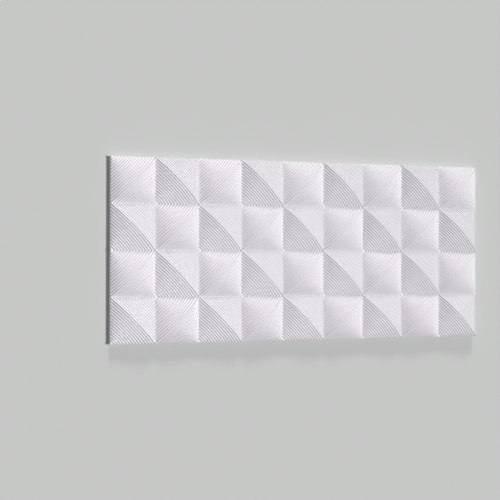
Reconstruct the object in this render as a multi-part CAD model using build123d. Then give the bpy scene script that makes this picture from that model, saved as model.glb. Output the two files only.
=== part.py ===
from build123d import *

import os
from math import hypot

# Relief wall panel, moulded in one piece: a flat-backed plate whose face is a grid of
# equal raised squares. Each square rises to an arched crest along one of its diagonals
# and falls in straight lines from that crest to its two other corners. Grooves beside
# the crest leave sharp ribs on both slopes and end at a smooth land in the corner.
# Neighbouring squares are mirror images, so crests and ribs run in zigzags. The arch is
# four straight stretches, bent at its crown and shoulders, so that every rib has flat
# sides. Millimetres; the panel lies on its back, with the origin in the middle of the
# back and +Z out of the face.

# Driving dimensions
SQUARE = 83.3
COLUMNS = 9
ROWS = 4
EDGE_THICKNESS = 12.6
CREST_RISE = 16.4
SHOULDER_RISE = 13.0
RIB_PITCH = 4.062
RIB_DEPTH = 2.0
CORNER_LAND = 9.5

# Sizes that follow from them
LENGTH = COLUMNS * SQUARE
WIDTH = ROWS * SQUARE
HALF_SQUARE = SQUARE / 2
HALF_DIAGONAL = hypot(HALF_SQUARE, HALF_SQUARE)
RIBS_PER_SLOPE = int((HALF_DIAGONAL - CORNER_LAND) / RIB_PITCH)

# Upright planes through a square's middle: along its crest, and across it
CREST_PLANE = Plane(origin=(0, 0, 0), x_dir=(1, -1, 0), z_dir=(-1, -1, 0))
CROSS_PLANE = Plane(origin=(0, 0, 0), x_dir=(1, 1, 0), z_dir=(1, -1, 0))

# Lower left corner of the square, on the valley lines, where the modelled slope ends
CORNER = Vector(-HALF_SQUARE, -HALF_SQUARE, EDGE_THICKNESS)


def crest_point(share: float, rise: float) -> Vector:
    """Point of the crest, a share of the way from its crown to the lower right corner."""
    return Vector(share * HALF_SQUARE, -share * HALF_SQUARE, EDGE_THICKNESS + rise)


def on_back(point: Vector) -> Vector:
    """The place on the back that lies under a point of the face."""
    return Vector(point.X, point.Y, 0)


def rib_section(top: Vector) -> Face:
    """Upright section from a crest point to the corner, ribbed above and reaching below the back."""
    fall = CORNER - top
    drop = Vector(0, 0, RIB_DEPTH)
    ribbed = [top]
    for rib in range(RIBS_PER_SLOPE):
        groove_share = (rib + 0.5) * RIB_PITCH / HALF_DIAGONAL
        ridge_share = (rib + 1) * RIB_PITCH / HALF_DIAGONAL
        ribbed.append(top + fall * groove_share - drop)
        ribbed.append(top + fall * ridge_share)
    below = [on_back(CORNER) - drop, on_back(top) - drop]
    return make_face(Polyline(*ribbed, CORNER, *below, close=True))


def slope_stretch(upper: Vector, lower: Vector) -> Part:
    """The wedge of the panel from one straight stretch of the crest to the corner."""
    stretch = lower - upper
    ribs = extrude(rib_section(upper), amount=stretch.length, dir=stretch)
    plan = make_face(Polyline(on_back(upper), on_back(lower), on_back(CORNER), close=True))
    return ribs & extrude(plan, amount=EDGE_THICKNESS + CREST_RISE + RIB_DEPTH)


def raised_square() -> Part:
    """One square about its own middle, from the back up, its crest on the falling diagonal."""
    crown = crest_point(0, CREST_RISE)
    shoulder = crest_point(0.5, SHOULDER_RISE)
    crest_end = crest_point(1, 0)
    half_slope = slope_stretch(crown, shoulder) + slope_stretch(shoulder, crest_end)
    slope = half_slope + mirror(half_slope, about=CROSS_PLANE)
    return slope + mirror(slope, about=CREST_PLANE)


def relief_panel() -> Part:
    """The whole panel as one solid."""
    falling_square = raised_square()
    rising_square = mirror(falling_square, about=Plane.XZ)
    squares = []
    for column in range(COLUMNS):
        for row in range(ROWS):
            x = (column + 0.5) * SQUARE - LENGTH / 2
            y = (row + 0.5) * SQUARE - WIDTH / 2
            square = falling_square if (column + row) % 2 == 0 else rising_square
            squares.append(Location((x, y, 0)) * square)
    return Part() + squares


os.makedirs("parts", exist_ok=True)
export_step(relief_panel(), "parts/relief_panel.step")
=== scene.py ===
import logging
import math
from dataclasses import dataclass, field
from enum import Enum, IntEnum
from typing import Any

import bmesh
import bpy
from mathutils import Matrix, Vector


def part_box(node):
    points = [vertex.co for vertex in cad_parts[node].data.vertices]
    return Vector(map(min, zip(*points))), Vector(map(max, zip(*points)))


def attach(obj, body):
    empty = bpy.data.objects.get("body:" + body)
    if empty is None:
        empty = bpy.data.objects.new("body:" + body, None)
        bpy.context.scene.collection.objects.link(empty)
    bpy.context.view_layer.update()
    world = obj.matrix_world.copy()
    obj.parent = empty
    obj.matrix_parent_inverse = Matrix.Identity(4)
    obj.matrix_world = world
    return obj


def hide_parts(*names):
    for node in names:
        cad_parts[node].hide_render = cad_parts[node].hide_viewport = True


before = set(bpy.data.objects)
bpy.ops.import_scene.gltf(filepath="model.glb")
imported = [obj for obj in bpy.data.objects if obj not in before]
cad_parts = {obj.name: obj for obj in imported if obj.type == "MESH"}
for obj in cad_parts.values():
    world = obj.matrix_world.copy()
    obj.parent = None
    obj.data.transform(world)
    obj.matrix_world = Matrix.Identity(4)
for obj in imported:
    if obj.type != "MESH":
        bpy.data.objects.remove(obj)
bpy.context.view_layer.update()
log = logging.getLogger("relief_panel")

Number = int | float
Colour = tuple[float, float, float]


def opaque(colour: Colour) -> tuple[float, float, float, float]:
    """The colour with full cover, as a shader's colour sockets take it."""
    return (*colour, 1.0)


class FinishSlot(IntEnum):
    """The panel's material slots, in order."""

    FACE = 0
    BACK = 1


class CrestLean(Enum):
    """Which way a square's crest runs, seen from in front with the upper edge at the top."""

    FALLING = "from upper left to lower right"
    RISING = "from lower left to upper right"


@dataclass(frozen=True)
class RibProfile:
    """The fine ribs that run beside the crest on both slopes of a square.

    Attributes:
        per_slope: rib pitches between the crest and a corner.
        depth: how far the grooves lie below the rib tops, in metres.
        groove: place of the groove outward from a rib's top, as a share of the pitch.
        steps: mesh rows to one pitch.
        hollow: power of the groove's section, 1 for a plain V, 2 for a round-bottomed flute, and more
            for a wider bottom between sharper ribs.
    """

    per_slope: float = 14.5
    depth: float = 0.0026
    groove: float = 0.5
    steps: int = 6
    hollow: float = 3.0

    @property
    def mesh_rows(self) -> int:
        """Mesh rows from the crest to a corner."""
        return round(self.per_slope * self.steps)

    def drop(self, outward: float) -> float:
        """How far the ribbed face lies below the smooth slope.

        Args:
            outward: share of the way from the crest, 0, to the corner, 1.

        Returns:
            The drop in metres, 0 on a rib's top and on the land past the last rib.
        """
        row = round(outward * self.mesh_rows)
        if row > int(self.per_slope) * self.steps:
            return 0.0
        phase = row % self.steps / self.steps
        outer_flank = phase / self.groove
        inner_flank = (1 - phase) / (1 - self.groove)
        return self.depth * (1 - (1 - min(outer_flank, inner_flank)) ** self.hollow)


class Wire:
    """A shader socket that can be used in plain arithmetic."""

    def __init__(self, nodes: "NodeSheet", socket: "bpy.types.NodeSocket | None") -> None:
        """Keeps the socket, if the node has one to give, and the node tree that it is in."""
        self.nodes = nodes
        self.socket = socket

    def _math(self, operation: str, first: Any, second: Any) -> "Wire":
        """Adds a Math node.

        Args:
            operation: the node's operation.
            first: value or wire of the first input.
            second: value or wire of the second input.

        Returns:
            The node's result.
        """
        return self.nodes.add("ShaderNodeMath", {"operation": operation}, {0: first, 1: second})

    def __add__(self, other: "Wire | Number") -> "Wire":
        """Sum of the two."""
        return self._math("ADD", self, other)

    __radd__ = __add__

    def __sub__(self, other: "Wire | Number") -> "Wire":
        """This less the other."""
        return self._math("SUBTRACT", self, other)

    def __rsub__(self, other: "Wire | Number") -> "Wire":
        """The other less this."""
        return self._math("SUBTRACT", other, self)

    def __mul__(self, other: "Wire | Number") -> "Wire":
        """Product of the two."""
        return self._math("MULTIPLY", self, other)

    __rmul__ = __mul__


class NodeSheet:
    """A node tree, filled one node at a time."""

    def __init__(self, tree: bpy.types.NodeTree) -> None:
        """Empties the tree and keeps it."""
        self.tree = tree
        self.tree.nodes.clear()

    def add(
        self,
        kind: str,
        settings: dict[str, Any] | None = None,
        inputs: dict[Any, Any] | None = None,
        output: Any = 0,
    ) -> Wire:
        """Adds one node.

        Args:
            kind: the node's type.
            settings: the node's own properties, set before its sockets.
            inputs: values or wires of its sockets, by name or number.
            output: which of its outputs to return.

        Returns:
            The output as a wire.
        """
        node = self.tree.nodes.new(kind)
        for key, value in (settings or {}).items():
            setattr(node, key, value)
        for key, value in (inputs or {}).items():
            if isinstance(value, Wire):
                self.tree.links.new(value.socket, node.inputs[key])
            else:
                node.inputs[key].default_value = value
        return Wire(self, node.outputs[output] if node.outputs else None)


class FinishNodes(NodeSheet):
    """The node tree of one finish."""

    # Numbers of the Mix node's colour sockets, which share their names with others
    FIRST_COLOUR, SECOND_COLOUR, MIXED_COLOUR = 6, 7, 2

    def __init__(self, name: str) -> None:
        """Starts an empty node material.

        Args:
            name: the material's name.
        """
        self.material = bpy.data.materials.new(name)
        self.material.use_nodes = True
        super().__init__(self.material.node_tree)

    def place(self) -> Wire:
        """Object coordinates of the shaded point, in metres."""
        return self.add("ShaderNodeTexCoord", output="Object")

    def noise(self, place: Wire, size: float, detail: float = 2.0) -> Wire:
        """Adds a cloudy pattern.

        Args:
            place: the coordinates that it follows.
            size: size of its blotches, in metres.
            detail: how many finer layers it has.

        Returns:
            Its strength, about one half on average.
        """
        return self.add(
            "ShaderNodeTexNoise", {}, {"Vector": place, "Scale": 1 / size, "Detail": detail}
        )

    def blend(self, factor: Wire, first: Colour, second: Colour) -> Wire:
        """Mixes two colours.

        Args:
            factor: 0 for the first colour, 1 for the second.
            first: the first colour.
            second: the second colour.

        Returns:
            The mixed colour.
        """
        colours = {self.FIRST_COLOUR: opaque(first), self.SECOND_COLOUR: opaque(second)}
        return self.add(
            "ShaderNodeMix",
            {"data_type": "RGBA"},
            {"Factor": factor, **colours},
            output=self.MIXED_COLOUR,
        )

    def bump(self, height: Wire, strength: float, distance: float) -> Wire:
        """Roughens the surface in its shading.

        Args:
            height: the pattern that stands up from the surface.
            strength: how much of it shows.
            distance: how far the pattern's highest places stand up, in metres.

        Returns:
            The direction that the roughened surface faces.
        """
        return self.add(
            "ShaderNodeBump",
            {},
            {"Strength": strength, "Distance": distance, "Height": height},
            output="Normal",
        )

    def finish(self, **sockets: Any) -> bpy.types.Material:
        """Adds the surface shader and the output.

        Args:
            sockets: the shader's values or wires, by socket name with underscores for spaces.

        Returns:
            The finished material.
        """
        named = {key.replace("_", " "): value for key, value in sockets.items()}
        shader = self.add("ShaderNodeBsdfPrincipled", {}, named)
        self.add("ShaderNodeOutputMaterial", {}, {"Surface": shader})
        return self.material


@dataclass(frozen=True)
class PrimedFace:
    """White factory primer on the moulded face and edges.

    Attributes:
        light: colour where the primer is thickest.
        dull: colour where it is thinnest.
        cloud_size: size of the uneven patches, in metres.
        grain_size: size of the fine skin's grains, in metres.
        grain_height: how far they stand up, in metres.
        grain_strength: how much of them shows.
        smoothest: roughness between the grains.
        grain_roughness: what the grains add to it.
        shine: strength of the plain reflection.
    """

    light: Colour = (0.81, 0.792, 0.822)
    dull: Colour = (0.78, 0.763, 0.791)
    cloud_size: float = 0.05
    grain_size: float = 0.0004
    grain_height: float = 0.0001
    grain_strength: float = 0.08
    smoothest: float = 0.52
    grain_roughness: float = 0.16
    shine: float = 0.35

    def make(self) -> bpy.types.Material:
        """Builds the material.

        Returns:
            A matt white with a soft cloudiness and a very fine skin.
        """
        nodes = FinishNodes("primed_face")
        place = nodes.place()
        cloud = nodes.noise(place, self.cloud_size)
        grain = nodes.noise(place, self.grain_size)
        return nodes.finish(
            Base_Color=nodes.blend(cloud, self.dull, self.light),
            Roughness=self.smoothest + self.grain_roughness * grain,
            Normal=nodes.bump(grain, self.grain_strength, self.grain_height),
            Specular_IOR_Level=self.shine,
        )


@dataclass(frozen=True)
class FoamBack:
    """Bare moulded skin of the foam on the back.

    Attributes:
        light: colour of the closed skin.
        dull: colour of the shallow pits and flow marks.
        flow_size: size of the flow marks, in metres.
        flow_detail: how many finer layers the flow marks have.
        flow_share: share of the flow marks in the colour, with the cells as the rest.
        cell_size: size of the foam's cells, in metres.
        cell_height: how far their rims stand up, in metres.
        cell_strength: how much of them shows.
        smoothest: roughness beside the flow marks.
        flow_roughness: what the flow marks add to it.
        shine: strength of the plain reflection.
    """

    light: Colour = (0.74, 0.73, 0.70)
    dull: Colour = (0.66, 0.645, 0.60)
    flow_size: float = 0.06
    flow_detail: float = 4.0
    flow_share: float = 0.7
    cell_size: float = 0.0009
    cell_height: float = 0.0002
    cell_strength: float = 0.2
    smoothest: float = 0.7
    flow_roughness: float = 0.15
    shine: float = 0.3

    def make(self) -> bpy.types.Material:
        """Builds the material.

        Returns:
            An off-white, matt, finely pitted foam.
        """
        nodes = FinishNodes("foam_back")
        place = nodes.place()
        flow = nodes.noise(place, self.flow_size, self.flow_detail)
        cells = nodes.add(
            "ShaderNodeTexVoronoi", {}, {"Vector": place, "Scale": 1 / self.cell_size}, output="Distance"
        )
        marks = self.flow_share * flow + (1 - self.flow_share) * cells
        return nodes.finish(
            Base_Color=nodes.blend(marks, self.dull, self.light),
            Roughness=self.smoothest + self.flow_roughness * flow,
            Normal=nodes.bump(cells, self.cell_strength, self.cell_height),
            Specular_IOR_Level=self.shine,
        )


@dataclass
class ReliefPanel:
    """The moulded panel: a grid of raised, ribbed squares on a flat-backed plate.

    Attributes:
        low: lowest corner of the solid that it stands for, in metres.
        high: highest corner of that solid.
        columns: squares along the length.
        rows: squares across the width.
        crest_rise: height of a crest's crown over the valley lines.
        along: mesh steps along a rib.
        back_chamfer: small chamfer round the back edge.
        sharp_angle: edges that bend more than this stay sharp, in degrees.
        ribs: the ribs' section.
    """

    low: Vector
    high: Vector
    columns: int = 9
    rows: int = 4
    crest_rise: float = 0.0164
    along: int = 10
    back_chamfer: float = 0.0005
    sharp_angle: float = 38.0
    ribs: RibProfile = field(default_factory=RibProfile)

    # Points of the mesh that lie nearer than this are one point, in metres
    MERGE = 1e-5

    @property
    def square(self) -> float:
        """Side of one square."""
        return (self.high.x - self.low.x) / self.columns

    @property
    def half_diagonal(self) -> float:
        """Distance from a square's middle to its corners."""
        return self.square / math.sqrt(2)

    @property
    def valley(self) -> float:
        """Height of the valley lines over the back."""
        return self.high.z - self.crest_rise

    def arch(self, across: float) -> float:
        """Height of the crest's round arch.

        Args:
            across: place along the crest, -1 and 1 at its ends and 0 at its crown.

        Returns:
            The height over the valley lines, as a share of the rise at the crown.
        """
        half, rise = self.half_diagonal, self.crest_rise
        radius = (half**2 + rise**2) / (2 * rise)
        height = math.sqrt(radius**2 - (half * across) ** 2) - (radius - rise)
        return max(height, 0.0) / rise

    def slope_point(self, across: float, outward: float) -> Vector:
        """Point of a ribbed slope, with the crest along Y and the corner towards -X.

        Args:
            across: place along the rib, -1 and 1 at its ends.
            outward: share of the way from the crest, 0, to the corner, 1.

        Returns:
            The point about the square's middle, its height taken from the back.
        """
        left = 1 - outward
        height = self.valley + self.crest_rise * left * self.arch(across) - self.ribs.drop(outward)
        return Vector((-self.half_diagonal * outward, self.half_diagonal * left * across, height))

    def raised_square(self, lean: CrestLean) -> bpy.types.Mesh:
        """Builds one square about its own middle.

        Args:
            lean: which way its crest runs.

        Returns:
            The square's ribbed face as a mesh of its own.
        """
        shape = bmesh.new()
        bmesh.ops.create_grid(shape, x_segments=self.along, y_segments=self.ribs.mesh_rows, size=1.0)
        for vert in shape.verts:
            vert.co = self.slope_point(vert.co.x, (vert.co.y + 1) / 2)
        everything = shape.verts[:] + shape.edges[:] + shape.faces[:]
        bmesh.ops.mirror(shape, geom=everything, matrix=Matrix.Identity(4), merge_dist=self.MERGE, axis="X")
        bmesh.ops.remove_doubles(shape, verts=shape.verts[:], dist=self.MERGE)
        eighth_turn = math.radians(45 if lean is CrestLean.FALLING else -45)
        turn = Matrix.Rotation(eighth_turn, 3, "Z")
        bmesh.ops.rotate(shape, verts=shape.verts[:], cent=(0, 0, 0), matrix=turn)
        mesh = bpy.data.meshes.new(f"square_{lean.name.lower()}")
        shape.to_mesh(mesh)
        shape.free()
        return mesh

    def lay_squares(self, shape: bmesh.types.BMesh) -> None:
        """Lays the squares side by side, their crests leaning in turn.

        Args:
            shape: the mesh that takes them.
        """
        squares = {lean: self.raised_square(lean) for lean in CrestLean}
        for column in range(self.columns):
            for row in range(self.rows):
                lean = CrestLean.FALLING if (column + row) % 2 == 0 else CrestLean.RISING
                before = len(shape.verts)
                shape.from_mesh(squares[lean])
                shape.verts.ensure_lookup_table()
                x = self.low.x + (column + 0.5) * self.square
                y = self.low.y + (row + 0.5) * self.square
                bmesh.ops.translate(shape, verts=shape.verts[before:], vec=(x, y, 0))
        for mesh in squares.values():
            bpy.data.meshes.remove(mesh)
        bmesh.ops.remove_doubles(shape, verts=shape.verts[:], dist=self.MERGE)

    def close_back(self, shape: bmesh.types.BMesh) -> None:
        """Adds the straight sides, the chamfer round the back edge and the flat back.

        Args:
            shape: the laid squares.
        """
        rim = [edge for edge in shape.edges if edge.is_boundary]
        for inset, height in ((0.0, self.low.z + self.back_chamfer), (self.back_chamfer, self.low.z)):
            made = bmesh.ops.extrude_edge_only(shape, edges=rim)["geom"]
            for vert in (item for item in made if isinstance(item, bmesh.types.BMVert)):
                vert.co.x = min(max(vert.co.x, self.low.x + inset), self.high.x - inset)
                vert.co.y = min(max(vert.co.y, self.low.y + inset), self.high.y - inset)
                vert.co.z = height
            rim = [item for item in made if isinstance(item, bmesh.types.BMEdge) and item.is_boundary]
        bmesh.ops.remove_doubles(shape, verts=shape.verts[:], dist=self.MERGE)
        rim = [edge for edge in shape.edges if edge.is_boundary]
        for face in bmesh.ops.contextual_create(shape, geom=rim)["faces"]:
            face.material_index = FinishSlot.BACK

    def build(self) -> bpy.types.Object:
        """Builds the whole panel.

        Returns:
            The panel's object, in place of the plain solid.
        """
        shape = bmesh.new()
        self.lay_squares(shape)
        for face in shape.faces:
            face.smooth = True
        self.close_back(shape)
        bmesh.ops.recalc_face_normals(shape, faces=shape.faces[:])
        mesh = bpy.data.meshes.new("ribbed_panel")
        shape.to_mesh(mesh)
        shape.free()
        mesh.set_sharp_from_angle(angle=math.radians(self.sharp_angle))
        panel = bpy.data.objects.new("ribbed_panel", mesh)
        bpy.context.scene.collection.objects.link(panel)
        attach(panel, "root")
        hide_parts("relief_panel")
        return panel

    def dress(self, panel: bpy.types.Object, face: PrimedFace, back: FoamBack) -> None:
        """Gives the panel its finishes.

        Args:
            panel: the panel's object.
            face: finish of the face and edges.
            back: finish of the back.
        """
        finishes = {FinishSlot.FACE: face, FinishSlot.BACK: back}
        for slot in FinishSlot:
            panel.data.materials.append(finishes[slot].make())


@dataclass(frozen=True)
class FarLamp:
    """A soft lamp so far off that its light falls evenly over the panel.

    Attributes:
        name: the lamp's name.
        bearing: where it stands, in degrees from the panel's right towards its upper edge.
        height: how high it stands over the face, in degrees.
        strength: its light on a face turned to it, in watts a square metre.
        spread: how wide it looks from the panel, in degrees.
    """

    name: str
    bearing: float
    height: float
    strength: float
    spread: float

    @property
    def direction(self) -> Vector:
        """From the panel towards the lamp."""
        bearing, height = math.radians(self.bearing), math.radians(self.height)
        level = math.cos(height)
        return Vector((level * math.cos(bearing), level * math.sin(bearing), math.sin(height)))

    def hang(self) -> bpy.types.Object:
        """Hangs the lamp.

        Returns:
            The lamp's object.
        """
        light = bpy.data.lights.new(self.name, "SUN")
        light.energy = self.strength
        light.angle = math.radians(self.spread)
        lamp = bpy.data.objects.new(self.name, light)
        lamp.rotation_euler = self.direction.to_track_quat("Z", "Y").to_euler()
        bpy.context.scene.collection.objects.link(lamp)
        return lamp


@dataclass
class Studio:
    """The pale floor, the lamps and the even light of the room.

    Attributes:
        floor_colour: colour of the floor.
        floor_roughness: its roughness.
        floor_reach: half the floor's side, in metres.
        lamps: the lamps, the main one first.
        room_colour: colour of the even light.
        room_strength: its strength.
        view_colour: colour of the room itself, where it is seen past the floor.
    """

    floor_colour: Colour = (0.52, 0.53, 0.52)
    floor_roughness: float = 0.9
    floor_reach: float = 40.0
    lamps: tuple[FarLamp, ...] = (
        FarLamp("key_lamp", bearing=-4.0, height=65.0, strength=2.8, spread=10.0),
        FarLamp("top_lamp", bearing=90.0, height=22.0, strength=1.35, spread=10.0),
    )
    room_colour: Colour = (1.0, 1.0, 1.0)
    room_strength: float = 0.085
    view_colour: Colour = (0.57, 0.585, 0.57)

    def build_floor(self) -> bpy.types.Object:
        """Lays the floor.

        Returns:
            The floor's object.
        """
        shape = bmesh.new()
        bmesh.ops.create_grid(shape, x_segments=1, y_segments=1, size=self.floor_reach)
        mesh = bpy.data.meshes.new("studio_floor")
        shape.to_mesh(mesh)
        shape.free()
        floor = bpy.data.objects.new("studio_floor", mesh)
        nodes = FinishNodes("floor_paint")
        paint = nodes.finish(Base_Color=opaque(self.floor_colour), Roughness=self.floor_roughness)
        mesh.materials.append(paint)
        bpy.context.scene.collection.objects.link(floor)
        return floor

    def light_room(self) -> bpy.types.World:
        """Sets the even light, and the pale room that is seen past the floor.

        Returns:
            The world that gives both.
        """
        world = bpy.data.worlds.new("studio_room")
        world.use_nodes = True
        nodes = NodeSheet(world.node_tree)
        even = {"Color": opaque(self.room_colour), "Strength": self.room_strength}
        light = nodes.add("ShaderNodeBackground", {}, even)
        view = nodes.add("ShaderNodeBackground", {}, {"Color": opaque(self.view_colour)})
        straight = nodes.add("ShaderNodeLightPath", output="Is Camera Ray")
        mirrored = nodes.add("ShaderNodeLightPath", output="Is Glossy Ray")
        through = nodes.add("ShaderNodeLightPath", output="Is Transmission Ray")
        seen = straight + mirrored + through
        room = nodes.add("ShaderNodeMixShader", {}, {0: seen, 1: light, 2: view})
        nodes.add("ShaderNodeOutputWorld", {}, {"Surface": room})
        bpy.context.scene.world = world
        return world


@dataclass
class PhotoCamera:
    """The camera over the panel's face, to the left of its middle.

    Attributes:
        eye: its place from the middle of the panel's valley plane, in metres.
        swing: turn to the right about the panel's upright, in degrees.
        nod: turn upwards, in degrees.
        tilt: turn about its own line of sight, in degrees.
        lens: focal length, in millimetres.
        sensor: width of the sensor, in millimetres.
    """

    eye: tuple[float, float, float] = (-1.06825, -0.00941, 2.2942)
    swing: float = 22.701
    nod: float = 0.2488
    tilt: float = 0.1584
    lens: float = 97.342
    sensor: float = 36.0

    def build(self, valley: float) -> bpy.types.Object:
        """Places the camera.

        Args:
            valley: height of the panel's valley plane.

        Returns:
            The camera's object.
        """
        data = bpy.data.cameras.new("photo_camera")
        data.lens = self.lens
        data.sensor_width = self.sensor
        camera = bpy.data.objects.new("photo_camera", data)
        camera.location = Vector(self.eye) + Vector((0, 0, valley))
        swing = Matrix.Rotation(math.radians(-self.swing), 3, "Y")
        nod = Matrix.Rotation(math.radians(self.nod), 3, "X")
        tilt = Matrix.Rotation(math.radians(self.tilt), 3, "Z")
        camera.rotation_euler = (swing @ nod @ tilt).to_euler()
        bpy.context.scene.collection.objects.link(camera)
        bpy.context.scene.camera = camera
        return camera


def main() -> None:
    """Builds the panel, its finishes, the studio and the camera."""
    logging.basicConfig(level=logging.INFO, format="%(message)s")
    low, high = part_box("relief_panel")
    panel = ReliefPanel(low, high)
    body = panel.build()
    log.info("%s: %d faces", body.name, len(body.data.polygons))
    panel.dress(body, PrimedFace(), FoamBack())
    log.info("%s: %s", body.name, ", ".join(slot.name for slot in body.data.materials))
    studio = Studio()
    log.info("floor: %s", studio.build_floor().name)
    for lamp in studio.lamps:
        log.info("lamp: %s", lamp.hang().name)
    log.info("room: %s", studio.light_room().name)
    log.info("camera: %s", PhotoCamera().build(panel.valley).name)
    bpy.context.scene.view_settings.view_transform = "Standard"


if __name__ == "__main__":
    main()
